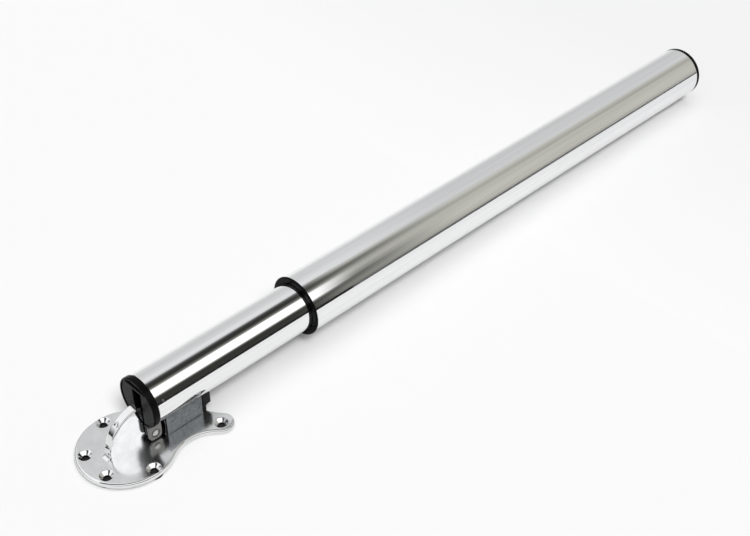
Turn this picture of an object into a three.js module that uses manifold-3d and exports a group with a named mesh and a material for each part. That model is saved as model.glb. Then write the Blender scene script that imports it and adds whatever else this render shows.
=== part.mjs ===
// Folding telescopic table leg on a die-cast hinge plate.
// Millimetres, +Z up. The origin is the centre of the plate's disc, on its mounting face (z = 0).
// The leg lies folded along +X, resting on the plate's cradle, and is partly drawn out.

import * as THREE from 'three';
import { mergeVertices } from 'three/addons/utils/BufferGeometryUtils.js';
import Module from 'manifold-3d';

const wasm = await Module();
wasm.setup();

// ---------------------------------------------------------------- driving dimensions

const GAP = 0.3; // clearance between touching pieces

// Mounting plate
const PLATE_THICKNESS = 5;
const PLATE_EDGE_ROUNDING = 1.2;
const DISC_RADIUS = 46;
// Screws in the disc: [distance from its centre, angle from +X]
const DISC_SCREWS = [[38.5, 87.5], [36.8, 153.5], [36.8, -153.5], [38.5, -87.5]];
const EAR_CENTRE = new THREE.Vector2(80.5, 36.2);
const EAR_RADIUS = 11.8;
const EAR_SCREW = new THREE.Vector2(79.2, 37); // a little off the ear's own centre
const NECK_RADIUS = 36;
const END_EDGE_X = 78; // nearest point of the hollow end edge between the two ears
const SCREW_HOLE_RADIUS = 3.1;
const COUNTERSINK_RADIUS = 6.5;
const COUNTERSINK_DEPTH = 3.3;

// Hinge fin on the plate
const FIN_HALF_WIDTH = 5;
const FIN_RADIUS = 35.5;
const FIN_CENTRE = new THREE.Vector2(16.2, 9.5);
const FIN_FOOT_RADIUS = 5;
const FIN_ROOT_CHAMFER = 2.2;

// Pivot, and the leg's axis above it
const PIVOT = new THREE.Vector2(24.2, 13.7);
const AXIS_RISE = 33;
const PIN_RADIUS = 2.8;
const PIN_HEAD_RADIUS = 3.6;
const PIN_RECESS_RADIUS = 4.4;
const BUSH_WALL = 1.2;

// Cradle walls under the folded tube
const CRADLE_INNER_Y = 12;
const CRADLE_OUTER_Y = 16.2;
const CRADLE_START_X = 35;
const CRADLE_TOP_Z = 28.7; // above the walls' real top, which the tube seat cuts
const BRIDGE_START_X = 66;
const BRIDGE_TOP_Z = 19;

// Rubber buffer on the cradle
const BUMPER_SEAT_X = 75.5;
const BUMPER_NECK_X = 79.2;
const BUMPER_END_X = 84.8;
const BUMPER_LIP_Z = 13;
const BUMPER_LIP_FILLET = 1.5;
const BUMPER_STEM_Z = 13;
const BUMPER_STEM_RADIUS = 3;
const BUMPER_STEM_BARB = 1;

// Tubes
const INNER_RADIUS = 25;
const OUTER_RADIUS = 30;
const WALL = 1.5;
const INNER_LENGTH = 590;
const COLLAR_START = 180.9; // along the leg, from the pivot
const COLLAR_RIM_END = COLLAR_START + 1.8;
const COLLAR_RADIUS = 31.4;
const COLLAR_NOSE_RADIUS = 1.2;
const COLLAR_SLEEVE_LENGTH = 38;
const OUTER_TUBE_END = 827.6;
const FOOT_FACE = 833.3;
const FOOT_PAD_RADIUS = 24;
const FOOT_PAD_THICKNESS = 3.5;
const FOOT_SPIGOT_LENGTH = 22;
const TUBE_SLOT_LENGTH = 34;
const TUBE_SEGMENTS = 40;

// End plug and hinge fork
const PLUG_FLANGE_RADIUS = 25.7;
const PLUG_FLANGE_THICKNESS = 6.7;
const PLUG_SPIGOT_LENGTH = 16;
const SLOT_HALF_WIDTH = 6;
const SLOT_TOP_ABOVE_AXIS = 15.3;
const RIB_HEIGHT = 2.5;
const GROOVE_HEIGHT = 2.6;
const GROOVE_HALF_LENGTH = 13;
const FACE_SINK = 0.8;
const CHEEK_HALF_WIDTH = 6.4;
const EAR_INNER_Y = 10.5;
const EAR_OUTER_Y = 13;
const EAR_HALF_WIDTH = 6.8;
const EAR_DROP = 7.3;
const EAR_CORNER_RADIUS = 4.5;
const EAR_TOP = 9.8;
const ARM_START_X = 1;
const ARM_BELOW_AXIS = 18.4;
const ARM_ABOVE_AXIS = 10;
const FORK_WEB_X = 51.5;
const FORK_WEB_THICKNESS = 2.5;
const PIN_RECESS_DEPTH = 1;
const RIVET_X = 6.2;
const RIVET_ANGLE = 26; // above the horizontal
const RIVET_RADIUS = 1.1;

// Detent plunger
const PLUNGER_NOSE_X = 3.3;
const PLUNGER_RADIUS = 4;
const PLUNGER_SHOULDER_X = 17.5;
const PLUNGER_SHOULDER_RADIUS = 7.5;
const PLUNGER_SHOULDER_LENGTH = 3;
const PLUNGER_STEM_RADIUS = 3.5;
const PLUNGER_END_X = 62;
const CLIP_X = 57.5;
const CLIP_THICKNESS = 0.8;
const CLIP_RADIUS = 6;
const CLIP_BORE = 2.8;
const CLIP_PLAY = 0.15;
const BUSH_FLANGE = 1.2;
const BUSH_TUBE_WALL = 1.4;
const DETENT_DEPTH = 1;
const DETENT_RADIUS = 4.2;

// Detent spring
const SPRING_WIRE_RADIUS = 0.7;
const SPRING_MEAN_RADIUS = 5.3;
const SPRING_TURNS = 7;

// Twist lock at the inner tube's far end
const STUD_RADIUS = 4;
const STUD_CHAMFER = 0.6;
const LOCK_PIN_X = 572;
const LOCK_PIN_RADIUS = 2.5;
const LOCK_PLUG_START = 560;
const LOCK_FLANGE_END = INNER_LENGTH + 4;
const CONE_START = LOCK_FLANGE_END + 1.6;
const CONE_RIM = 3;
const CONE_END = CONE_START + 18;
const CONE_BIG_RADIUS = 24;
const CONE_SMALL_RADIUS = 18;
const EXPANDER_RADIUS = 28.2;
const EXPANDER_START = 600;
const EXPANDER_END = 634;
const EXPANDER_END_WALL = 6;
const EXPANDER_PLAY = 0.4; // between the ring's bore and the cone
const EXPANDER_SLITS = 4;
const NUT_RADIUS = 7.5;
const NUT_THICKNESS = 6;
const GUIDE_SLEEVE_LENGTH = 50;

// ---------------------------------------------------------------- colours

const chrome = { color: 0xd9dbde, roughness: 0.08, metalness: 1 };
const satinSteel = { color: 0xa9abab, roughness: 0.38, metalness: 1 };
const brass = { color: 0xb8954a, roughness: 0.35, metalness: 1 };
const blackPlastic = { color: 0x17181a, roughness: 0.35, metalness: 0 };
const greyNylon = { color: 0x8f918f, roughness: 0.5, metalness: 0 };
const blackRubber = { color: 0x141414, roughness: 0.8, metalness: 0 };

// ---------------------------------------------------------------- solid helpers

const degrees = (angle) => (angle * Math.PI) / 180;

function toSolid(geometry) {
  let plain = geometry.clone();
  plain.deleteAttribute('normal');
  if (plain.attributes.uv) plain.deleteAttribute('uv');
  plain = mergeVertices(plain, 1e-4);
  const triVerts = new Uint32Array(plain.index.array);
  const vertProperties = new Float32Array(plain.attributes.position.array);
  return new wasm.Manifold(new wasm.Mesh({ numProp: 3, vertProperties, triVerts }));
}

function toGeometry(solid) {
  const mesh = solid.getMesh();
  const geometry = new THREE.BufferGeometry();
  geometry.setAttribute('position', new THREE.BufferAttribute(mesh.vertProperties, 3));
  geometry.setIndex(new THREE.BufferAttribute(mesh.triVerts, 1));
  geometry.computeVertexNormals();
  return geometry;
}

function join(...geometries) {
  return toGeometry(geometries.map(toSolid).reduce((sum, next) => sum.add(next)));
}

function cut(base, ...tools) {
  return toGeometry(tools.map(toSolid).reduce((rest, tool) => rest.subtract(tool), toSolid(base)));
}

function box(low, high) {
  const size = high.map((value, i) => value - low[i]);
  const middle = high.map((value, i) => (value + low[i]) / 2);
  return new THREE.BoxGeometry(...size).translate(...middle);
}

// A turned body about the X axis. Points are [along X, radius], from one end to the other.
function turnedX(points, segments = 24) {
  const profile = points.map(([x, radius]) => new THREE.Vector2(radius, x));
  return new THREE.LatheGeometry(profile, segments).rotateZ(-Math.PI / 2);
}

// A ring about the X axis, from a closed [along X, radius] profile.
function ringX(points, segments = TUBE_SEGMENTS) {
  return turnedX([...points, points[0]], segments);
}

function rodX(x0, x1, radius, segments = 24) {
  return turnedX([[x0, 0], [x0, radius], [x1, radius], [x1, 0]], segments);
}

function pipeX(x0, x1, outer, inner, segments = TUBE_SEGMENTS) {
  return ringX([[x0, inner], [x0, outer], [x1, outer], [x1, inner]], segments);
}

// A round bar along Y, centred on (x, z).
function rodY(x, z, y0, y1, radius, segments = 20) {
  return new THREE.CylinderGeometry(radius, radius, y1 - y0, segments).translate(x, (y0 + y1) / 2, z);
}

// An outline in the XZ plane, thickened from y0 to y1.
function slabY(shape, y0, y1, curveSegments = 12) {
  const geometry = new THREE.ExtrudeGeometry(shape, { depth: y1 - y0, bevelEnabled: false, curveSegments });
  return geometry.rotateX(Math.PI / 2).translate(0, y1, 0);
}

function piece(name, geometry, look) {
  const mesh = new THREE.Mesh(geometry, new THREE.MeshStandardMaterial(look));
  mesh.name = name;
  return mesh;
}

// The point at given distances from two centres, on the left of the line from the first to the second.
function circleMeeting(a, reachA, b, reachB) {
  const span = a.distanceTo(b);
  const along = (reachA ** 2 - reachB ** 2 + span ** 2) / (2 * span);
  const aside = Math.sqrt(reachA ** 2 - along ** 2);
  const unit = b.clone().sub(a).divideScalar(span);
  return new THREE.Vector2(a.x + unit.x * along - unit.y * aside, a.y + unit.y * along + unit.x * aside);
}

const bearing = (from, to) => Math.atan2(to.y - from.y, to.x - from.x);

// ---------------------------------------------------------------- mounting plate

// Disc, two hollow necks, two round ears and a hollow end edge, all tangent to each other.
function plateOutline() {
  const disc = new THREE.Vector2(0, 0);
  const neck = circleMeeting(disc, DISC_RADIUS + NECK_RADIUS, EAR_CENTRE, EAR_RADIUS + NECK_RADIUS);
  const reach = EAR_CENTRE.x - END_EDGE_X;
  const endRadius = (EAR_CENTRE.y ** 2 + reach ** 2 - EAR_RADIUS ** 2) / (2 * (EAR_RADIUS + reach));
  const end = new THREE.Vector2(END_EDGE_X + endRadius, 0);
  const discToNeck = bearing(disc, neck);
  const neckToDisc = bearing(neck, disc);
  const neckToEar = bearing(neck, EAR_CENTRE);
  const earToNeck = bearing(EAR_CENTRE, neck);
  const earToEnd = bearing(EAR_CENTRE, end);
  const endToEar = bearing(end, EAR_CENTRE);
  const full = 2 * Math.PI;
  const shape = new THREE.Shape();
  shape.absarc(0, 0, DISC_RADIUS, discToNeck, full - discToNeck, false);
  shape.absarc(neck.x, -neck.y, NECK_RADIUS, -neckToDisc, -neckToEar, true);
  shape.absarc(EAR_CENTRE.x, -EAR_CENTRE.y, EAR_RADIUS, -earToNeck, -earToEnd, false);
  shape.absarc(end.x, 0, endRadius, full - endToEar, endToEar, true);
  shape.absarc(EAR_CENTRE.x, EAR_CENTRE.y, EAR_RADIUS, earToEnd, earToNeck, false);
  shape.absarc(neck.x, neck.y, NECK_RADIUS, neckToEar, neckToDisc, true);
  return shape;
}

function plateBlank() {
  const geometry = new THREE.ExtrudeGeometry(plateOutline(), {
    depth: PLATE_THICKNESS - 2 * PLATE_EDGE_ROUNDING,
    bevelEnabled: true,
    bevelSize: PLATE_EDGE_ROUNDING,
    bevelOffset: -PLATE_EDGE_ROUNDING,
    bevelThickness: PLATE_EDGE_ROUNDING,
    bevelSegments: 1,
    curveSegments: 9,
  });
  return geometry.translate(0, 0, PLATE_EDGE_ROUNDING);
}

function screwPlaces() {
  const places = DISC_SCREWS.map(([reach, angle]) => new THREE.Vector2(
    reach * Math.cos(degrees(angle)),
    reach * Math.sin(degrees(angle)),
  ));
  return [...places, EAR_SCREW.clone(), new THREE.Vector2(EAR_SCREW.x, -EAR_SCREW.y)];
}

function screwCutter(place) {
  const profile = [
    [0, -1],
    [SCREW_HOLE_RADIUS, -1],
    [SCREW_HOLE_RADIUS, PLATE_THICKNESS - COUNTERSINK_DEPTH],
    [COUNTERSINK_RADIUS, PLATE_THICKNESS],
    [COUNTERSINK_RADIUS, PLATE_THICKNESS + 1],
    [0, PLATE_THICKNESS + 1],
  ].map(([radius, z]) => new THREE.Vector2(radius, z));
  return new THREE.LatheGeometry(profile, 16).rotateX(Math.PI / 2).translate(place.x, place.y, 0);
}

// Quarter-round fin whose edge flares into the plate at both feet.
function finShape() {
  const footZ = PLATE_THICKNESS + FIN_FOOT_RADIUS;
  const rise = footZ - FIN_CENTRE.y;
  const halfSpan = Math.sqrt((FIN_RADIUS + FIN_FOOT_RADIUS) ** 2 - rise ** 2);
  const tilt = Math.asin(rise / (FIN_RADIUS + FIN_FOOT_RADIUS));
  const left = FIN_CENTRE.x - halfSpan;
  const right = FIN_CENTRE.x + halfSpan;
  const buried = PLATE_THICKNESS - 1;
  const shape = new THREE.Shape();
  shape.moveTo(left, buried);
  shape.lineTo(right, buried);
  shape.absarc(right, footZ, FIN_FOOT_RADIUS, -Math.PI / 2, Math.PI + tilt, true);
  shape.absarc(FIN_CENTRE.x, FIN_CENTRE.y, FIN_RADIUS, tilt, Math.PI - tilt, false);
  shape.absarc(left, footZ, FIN_FOOT_RADIUS, -tilt, -Math.PI / 2, true);
  shape.closePath();
  return shape;
}

// Sloping roots where the fin's two faces meet the plate.
function finRoots() {
  const half = FIN_HALF_WIDTH + FIN_ROOT_CHAMFER;
  const top = PLATE_THICKNESS + FIN_ROOT_CHAMFER;
  const buried = PLATE_THICKNESS - 1;
  const section = new THREE.Shape([
    new THREE.Vector2(buried, -half),
    new THREE.Vector2(PLATE_THICKNESS, -half),
    new THREE.Vector2(top, -FIN_HALF_WIDTH),
    new THREE.Vector2(top, FIN_HALF_WIDTH),
    new THREE.Vector2(PLATE_THICKNESS, half),
    new THREE.Vector2(buried, half),
  ]);
  const start = FIN_CENTRE.x - FIN_RADIUS;
  const end = FIN_CENTRE.x + FIN_RADIUS;
  const prism = new THREE.ExtrudeGeometry(section, { depth: end - start, bevelEnabled: false });
  return prism.rotateY(-Math.PI / 2).translate(end, 0, 0);
}

// Dimple in the fin's edge for the plunger's round nose, with the leg upright.
function detentDimple() {
  const upright = new THREE.Vector2(PIVOT.x - AXIS_RISE, PIVOT.y);
  const across = upright.x - FIN_CENTRE.x;
  const up = Math.sqrt((FIN_RADIUS + PLUNGER_RADIUS) ** 2 - across ** 2);
  const reach = FIN_RADIUS - DETENT_DEPTH + DETENT_RADIUS;
  const scale = reach / (FIN_RADIUS + PLUNGER_RADIUS);
  const x = FIN_CENTRE.x + across * scale;
  const z = FIN_CENTRE.y + up * scale;
  return new THREE.SphereGeometry(DETENT_RADIUS, 24, 16).translate(x, 0, z);
}

// One of the two upright walls that the folded tube lies between.
function cradleWall(y0, y1) {
  return box([CRADLE_START_X, y0, PLATE_THICKNESS - 1], [BUMPER_SEAT_X - GAP, y1, CRADLE_TOP_Z]);
}

// The folded tube's outside, grown by the gap: it hollows out the cradle and the bumper.
function tubeSeatCutter() {
  const seat = rodX(CRADLE_START_X - 10, BUMPER_END_X + 10, INNER_RADIUS + GAP, TUBE_SEGMENTS);
  return seat.translate(0, 0, PIVOT.y + AXIS_RISE);
}

function mountingPlate() {
  const bridge = box(
    [BRIDGE_START_X, -CRADLE_INNER_Y - 1, PLATE_THICKNESS - 1],
    [BUMPER_SEAT_X - GAP, CRADLE_INNER_Y + 1, BRIDGE_TOP_Z],
  );
  const walls = join(
    cradleWall(CRADLE_INNER_Y, CRADLE_OUTER_Y),
    cradleWall(-CRADLE_OUTER_Y, -CRADLE_INNER_Y),
    bridge,
  );
  const casting = join(
    plateBlank(),
    slabY(finShape(), -FIN_HALF_WIDTH, FIN_HALF_WIDTH, 14),
    finRoots(),
    cut(walls, tubeSeatCutter()),
  );
  const eyeRadius = PIN_RADIUS + BUSH_WALL + 2 * GAP;
  const stemHole = rodX(BRIDGE_START_X - 1, BUMPER_SEAT_X + 1, BUMPER_STEM_RADIUS + GAP, 24);
  const geometry = cut(
    casting,
    ...screwPlaces().map(screwCutter),
    rodY(PIVOT.x, PIVOT.y, -FIN_HALF_WIDTH - 1, FIN_HALF_WIDTH + 1, eyeRadius),
    detentDimple(),
    stemHole.translate(0, 0, BUMPER_STEM_Z),
  );
  return piece('mounting_plate', geometry, chrome);
}

function pivotBush() {
  const outer = rodY(PIVOT.x, PIVOT.y, -FIN_HALF_WIDTH, FIN_HALF_WIDTH, PIN_RADIUS + GAP + BUSH_WALL);
  const bore = rodY(PIVOT.x, PIVOT.y, -FIN_HALF_WIDTH - 1, FIN_HALF_WIDTH + 1, PIN_RADIUS + GAP);
  return piece('pivot_bush', cut(outer, bore), brass);
}

// Rubber buffer: a block past the walls' end on a neck down to the plate, and a mushroom stem.
function cradleBumper() {
  const foot = PLATE_THICKNESS + GAP;
  const fillet = BUMPER_LIP_FILLET;
  const side = new THREE.Shape();
  side.moveTo(BUMPER_SEAT_X, foot);
  side.lineTo(BUMPER_NECK_X, foot);
  side.absarc(BUMPER_NECK_X + fillet, BUMPER_LIP_Z - fillet, fillet, Math.PI, Math.PI / 2, true);
  side.lineTo(BUMPER_END_X, BUMPER_LIP_Z);
  side.lineTo(BUMPER_END_X, CRADLE_TOP_Z);
  side.lineTo(BUMPER_SEAT_X, CRADLE_TOP_Z);
  side.closePath();
  const stem = turnedX([
    [BRIDGE_START_X - 5, 0],
    [BRIDGE_START_X - 4, BUMPER_STEM_RADIUS - BUMPER_STEM_BARB],
    [BRIDGE_START_X - GAP, BUMPER_STEM_RADIUS + BUMPER_STEM_BARB],
    [BRIDGE_START_X - GAP, BUMPER_STEM_RADIUS],
    [BUMPER_SEAT_X + 1, BUMPER_STEM_RADIUS],
    [BUMPER_SEAT_X + 1, 0],
  ], 24).translate(0, 0, BUMPER_STEM_Z);
  const solid = join(slabY(side, -CRADLE_OUTER_Y, CRADLE_OUTER_Y), stem);
  return piece('cradle_bumper', cut(solid, tubeSeatCutter()), blackRubber);
}

// ---------------------------------------------------------------- hinge end of the leg
// From here on every piece is in the leg's own frame: the pivot is the origin, +X runs along the leg
// and the tube's axis is AXIS_RISE above the pivot.

const onAxis = (geometry) => geometry.translate(0, 0, AXIS_RISE);

// Pressed steel fork: two lobed ears joined by a web across the tube.
function hingeFork() {
  const armBottom = AXIS_RISE - ARM_BELOW_AXIS;
  const armTop = AXIS_RISE + ARM_ABOVE_AXIS;
  const webEnd = FORK_WEB_X + FORK_WEB_THICKNESS;
  const corner = EAR_HALF_WIDTH - EAR_CORNER_RADIUS;
  const cornerZ = EAR_CORNER_RADIUS - EAR_DROP;
  const ear = new THREE.Shape();
  ear.absarc(-corner, cornerZ, EAR_CORNER_RADIUS, Math.PI, 1.5 * Math.PI, false);
  ear.absarc(corner, cornerZ, EAR_CORNER_RADIUS, 1.5 * Math.PI, 2 * Math.PI, false);
  ear.lineTo(EAR_HALF_WIDTH, armBottom);
  ear.lineTo(webEnd, armBottom);
  ear.lineTo(webEnd, armTop);
  ear.lineTo(ARM_START_X, armTop);
  ear.lineTo(ARM_START_X, EAR_TOP);
  ear.lineTo(-EAR_HALF_WIDTH, EAR_TOP);
  ear.closePath();
  const web = box([FORK_WEB_X, -EAR_OUTER_Y, armBottom], [webEnd, EAR_OUTER_Y, armTop]);
  const webHole = onAxis(rodX(FORK_WEB_X - 1, webEnd + 1, PLUNGER_STEM_RADIUS + 2));
  const recessFloor = EAR_OUTER_Y - PIN_RECESS_DEPTH;
  const geometry = cut(
    join(slabY(ear, EAR_INNER_Y, EAR_OUTER_Y), slabY(ear, -EAR_OUTER_Y, -EAR_INNER_Y), web),
    rodY(0, 0, -EAR_OUTER_Y - 1, EAR_OUTER_Y + 1, PIN_RADIUS + GAP),
    rodY(0, 0, recessFloor, EAR_OUTER_Y + 1, PIN_RECESS_RADIUS),
    rodY(0, 0, -EAR_OUTER_Y - 1, -recessFloor, PIN_RECESS_RADIUS),
    webHole,
  );
  return piece('hinge_fork', geometry, satinSteel);
}

// Pin with a low domed head sunk into each ear.
function pivotPin() {
  const seat = EAR_OUTER_Y - PIN_RECESS_DEPTH + GAP;
  const crown = EAR_OUTER_Y + 0.8;
  const half = [
    [seat, PIN_RADIUS],
    [seat, PIN_HEAD_RADIUS],
    [EAR_OUTER_Y, PIN_HEAD_RADIUS],
    [crown - 0.2, PIN_HEAD_RADIUS * 0.6],
    [crown, 0],
  ];
  const mirrored = half.map(([y, radius]) => [-y, radius]).reverse();
  const pin = turnedX([...mirrored, ...half]);
  return piece('pivot_pin', pin.rotateZ(Math.PI / 2), chrome);
}

// Moulded plug: flange, spigot in the tube, and two cheeks reaching down beside the fin to the pin.
function endPlug() {
  const face = -PLUG_FLANGE_THICKNESS;
  const cheekOuter = EAR_INNER_Y - GAP;
  const rim = PLUG_FLANGE_RADIUS;
  const lip = rim - 2.1;
  const flange = onAxis(turnedX([
    [face, 0],
    [face, rim - 1.2],
    [face + 0.4, rim - 0.4],
    [face + 1.2, rim],
    [-GAP, rim],
    [-GAP, 0],
  ], TUBE_SEGMENTS));
  const spigot = onAxis(rodX(-1, PLUG_SPIGOT_LENGTH, INNER_RADIUS - WALL - GAP, TUBE_SEGMENTS));
  const cheek = new THREE.Shape();
  cheek.absarc(0, 0, CHEEK_HALF_WIDTH, Math.PI, 2 * Math.PI, false);
  cheek.lineTo(CHEEK_HALF_WIDTH, AXIS_RISE / 2);
  cheek.lineTo(-CHEEK_HALF_WIDTH, AXIS_RISE / 2);
  cheek.closePath();
  const solid = join(flange, spigot, slabY(cheek, -cheekOuter, cheekOuter));

  const slotTop = AXIS_RISE + SLOT_TOP_ABOVE_AXIS;
  const far = PLUG_SPIGOT_LENGTH + 1;
  const low = -EAR_DROP - 1;
  const finSlot = box([face - 1, -SLOT_HALF_WIDTH, low], [far, SLOT_HALF_WIDTH, slotTop]);
  const armTop = AXIS_RISE + ARM_ABOVE_AXIS + GAP;
  const earTop = EAR_TOP + GAP;
  const armSlots = [1, -1].flatMap((side) => {
    const y = [side * cheekOuter, side * (EAR_OUTER_Y + GAP)].sort((a, b) => a - b);
    return [
      box([ARM_START_X - GAP, y[0], low], [far, y[1], armTop]),
      box([face - 1, y[0], low], [ARM_START_X, y[1], earTop]),
    ];
  });

  // Face moulding: a sunk face with a cross rib over the slot and a deeper groove above the rib.
  const ribTop = slotTop + RIB_HEIGHT;
  const sunk = cut(
    onAxis(rodX(face - 1, face + FACE_SINK, lip, TUBE_SEGMENTS)),
    box([face - 2, -lip, slotTop], [0, lip, ribTop]),
  );
  const grooveStart = ribTop + 0.4;
  const groove = box(
    [face - 1, -GROOVE_HALF_LENGTH, grooveStart],
    [face + FACE_SINK + 1, GROOVE_HALF_LENGTH, grooveStart + GROOVE_HEIGHT],
  );
  const geometry = cut(
    solid,
    finSlot,
    ...armSlots,
    sunk,
    groove,
    rodY(0, 0, -cheekOuter - 1, cheekOuter + 1, PIN_RADIUS + GAP),
    ...[1, -1].map((side) => plugRivetShape(side, GAP)),
  );
  return piece('end_plug', geometry, blackPlastic);
}

// A rivet through the tube wall into the plug, square to the tube's surface.
function plugRivetShape(side, grow) {
  const radius = RIVET_RADIUS + grow;
  const inside = INNER_RADIUS - 6 - grow;
  const crown = INNER_RADIUS + 0.6 + grow;
  const rivet = turnedX([
    [inside, 0],
    [inside, radius],
    [INNER_RADIUS + 0.1 + grow, radius],
    [crown, radius * 0.55],
    [crown + 0.1, 0],
  ], 16);
  const tilt = side > 0 ? degrees(RIVET_ANGLE) : Math.PI - degrees(RIVET_ANGLE);
  return onAxis(rivet.rotateZ(Math.PI / 2).rotateX(tilt).translate(RIVET_X, 0, 0));
}

function plugRivet(name, side) {
  return piece(name, plugRivetShape(side, 0), satinSteel);
}

// Inner tube, slotted underneath for the fin and notched at its end for the fork's ears.
function innerTube() {
  const bottom = AXIS_RISE - INNER_RADIUS - 1;
  const inside = AXIS_RISE - 15;
  const slotHalf = SLOT_HALF_WIDTH + GAP;
  const notchHalf = EAR_OUTER_Y + GAP + 0.1;
  const finSlot = box([-1, -slotHalf, bottom], [TUBE_SLOT_LENGTH, slotHalf, inside]);
  const notch = box([-1, -notchHalf, bottom], [EAR_HALF_WIDTH + 1, notchHalf, inside]);
  const geometry = cut(
    onAxis(pipeX(0, INNER_LENGTH, INNER_RADIUS, INNER_RADIUS - WALL)),
    finSlot,
    notch,
    ...[1, -1].map((side) => plugRivetShape(side, GAP)),
    onAxis(rodY(LOCK_PIN_X, 0, -INNER_RADIUS - 1, INNER_RADIUS + 1, LOCK_PIN_RADIUS + GAP, 24)),
  );
  return piece('inner_tube', geometry, chrome);
}

// ---------------------------------------------------------------- detent

function detentPlunger() {
  const nose = [];
  const steps = 6;
  for (let i = 0; i <= steps; i += 1) {
    const angle = (i / steps) * (Math.PI / 2);
    nose.push([
      PLUNGER_NOSE_X + PLUNGER_RADIUS * (1 - Math.cos(angle)),
      PLUNGER_RADIUS * Math.sin(angle),
    ]);
  }
  const shoulderEnd = PLUNGER_SHOULDER_X + PLUNGER_SHOULDER_LENGTH;
  const grooveStart = CLIP_X - CLIP_PLAY;
  const grooveEnd = CLIP_X + CLIP_THICKNESS + CLIP_PLAY;
  const profile = [
    ...nose,
    [PLUNGER_SHOULDER_X, PLUNGER_RADIUS],
    [PLUNGER_SHOULDER_X, PLUNGER_SHOULDER_RADIUS],
    [shoulderEnd, PLUNGER_SHOULDER_RADIUS],
    [shoulderEnd, PLUNGER_STEM_RADIUS],
    [grooveStart, PLUNGER_STEM_RADIUS],
    [grooveStart, CLIP_BORE - GAP],
    [grooveEnd, CLIP_BORE - GAP],
    [grooveEnd, PLUNGER_STEM_RADIUS],
    [PLUNGER_END_X, PLUNGER_STEM_RADIUS],
    [PLUNGER_END_X, 0],
  ];
  return piece('detent_plunger', onAxis(turnedX(profile)), satinSteel);
}

// Open spring clip in the plunger's groove, behind the fork's web.
function plungerClip() {
  const ring = pipeX(CLIP_X, CLIP_X + CLIP_THICKNESS, CLIP_RADIUS, CLIP_BORE, 32);
  const mouth = box([CLIP_X - 1, -1.8, -8], [CLIP_X + CLIP_THICKNESS + 1, 1.8, 0]);
  return piece('plunger_clip', onAxis(cut(ring, mouth)), satinSteel);
}

class Helix extends THREE.Curve {
  constructor(radius, length, turns) {
    super();
    this.radius = radius;
    this.length = length;
    this.turns = turns;
  }

  getPoint(t, target = new THREE.Vector3()) {
    const angle = 2 * Math.PI * this.turns * t;
    return target.set(this.length * t, this.radius * Math.cos(angle), this.radius * Math.sin(angle));
  }
}

function detentSpring() {
  const start = PLUNGER_SHOULDER_X + PLUNGER_SHOULDER_LENGTH + GAP + SPRING_WIRE_RADIUS;
  const end = FORK_WEB_X - BUSH_FLANGE - 2 * GAP - SPRING_WIRE_RADIUS;
  const wire = new THREE.Shape().absarc(0, 0, SPRING_WIRE_RADIUS, 0, 2 * Math.PI, false);
  const path = new Helix(SPRING_MEAN_RADIUS, end - start, SPRING_TURNS);
  const geometry = new THREE.ExtrudeGeometry(wire, {
    extrudePath: path,
    steps: SPRING_TURNS * 10,
    curveSegments: 3,
    bevelEnabled: false,
  });
  return piece('detent_spring', onAxis(geometry.translate(start, 0, 0)), satinSteel);
}

// Flanged nylon bush in the fork's web: guides the plunger's stem and seats the spring.
function plungerBush() {
  const bore = PLUNGER_STEM_RADIUS + GAP;
  const flangeStart = FORK_WEB_X - GAP - BUSH_FLANGE;
  const profile = [
    [flangeStart, bore],
    [flangeStart, PLUNGER_SHOULDER_RADIUS],
    [FORK_WEB_X - GAP, PLUNGER_SHOULDER_RADIUS],
    [FORK_WEB_X - GAP, bore + BUSH_TUBE_WALL],
    [FORK_WEB_X + FORK_WEB_THICKNESS, bore + BUSH_TUBE_WALL],
    [FORK_WEB_X + FORK_WEB_THICKNESS, bore],
  ];
  return piece('plunger_bush', onAxis(ringX(profile, 32)), greyNylon);
}

// ---------------------------------------------------------------- twist lock

// Nylon plug in the inner tube's end, pinned across together with the stud.
function lockPlug() {
  const spigot = INNER_RADIUS - WALL - GAP;
  const bore = STUD_RADIUS + GAP;
  const flange = EXPANDER_RADIUS - 0.7;
  const body = onAxis(ringX([
    [LOCK_PLUG_START, bore],
    [LOCK_PLUG_START, spigot - 1],
    [LOCK_PLUG_START + 1, spigot],
    [INNER_LENGTH + GAP, spigot],
    [INNER_LENGTH + GAP, flange],
    [LOCK_FLANGE_END, flange],
    [LOCK_FLANGE_END, bore],
  ], 32));
  const pinHole = onAxis(rodY(LOCK_PIN_X, 0, -30, 30, LOCK_PIN_RADIUS + GAP, 24));
  return piece('lock_plug', cut(body, pinHole), greyNylon);
}

// Cross pin through tube, plug and stud, flush with the tube's outside.
function lockPlugPin() {
  const half = INNER_RADIUS - 0.1;
  return piece('lock_plug_pin', onAxis(rodY(LOCK_PIN_X, 0, -half, half, LOCK_PIN_RADIUS, 24)), satinSteel);
}

function lockStud() {
  const start = LOCK_PLUG_START + 2;
  const end = EXPANDER_END + 9;
  const rod = onAxis(turnedX([
    [start, 0],
    [start, STUD_RADIUS - STUD_CHAMFER],
    [start + STUD_CHAMFER, STUD_RADIUS],
    [end - STUD_CHAMFER, STUD_RADIUS],
    [end, STUD_RADIUS - STUD_CHAMFER],
    [end, 0],
  ], 24));
  const pinHole = onAxis(rodY(LOCK_PIN_X, 0, -10, 10, LOCK_PIN_RADIUS + GAP, 24));
  return piece('lock_stud', cut(rod, pinHole), satinSteel);
}

// Cone nut, drawn along the stud by its thread.
function lockCone() {
  const bore = STUD_RADIUS + GAP;
  const profile = [
    [CONE_START, bore],
    [CONE_START, CONE_BIG_RADIUS],
    [CONE_START + CONE_RIM, CONE_BIG_RADIUS],
    [CONE_END, CONE_SMALL_RADIUS],
    [CONE_END, bore],
  ];
  return piece('lock_cone', onAxis(ringX(profile, 32)), brass);
}

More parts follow.
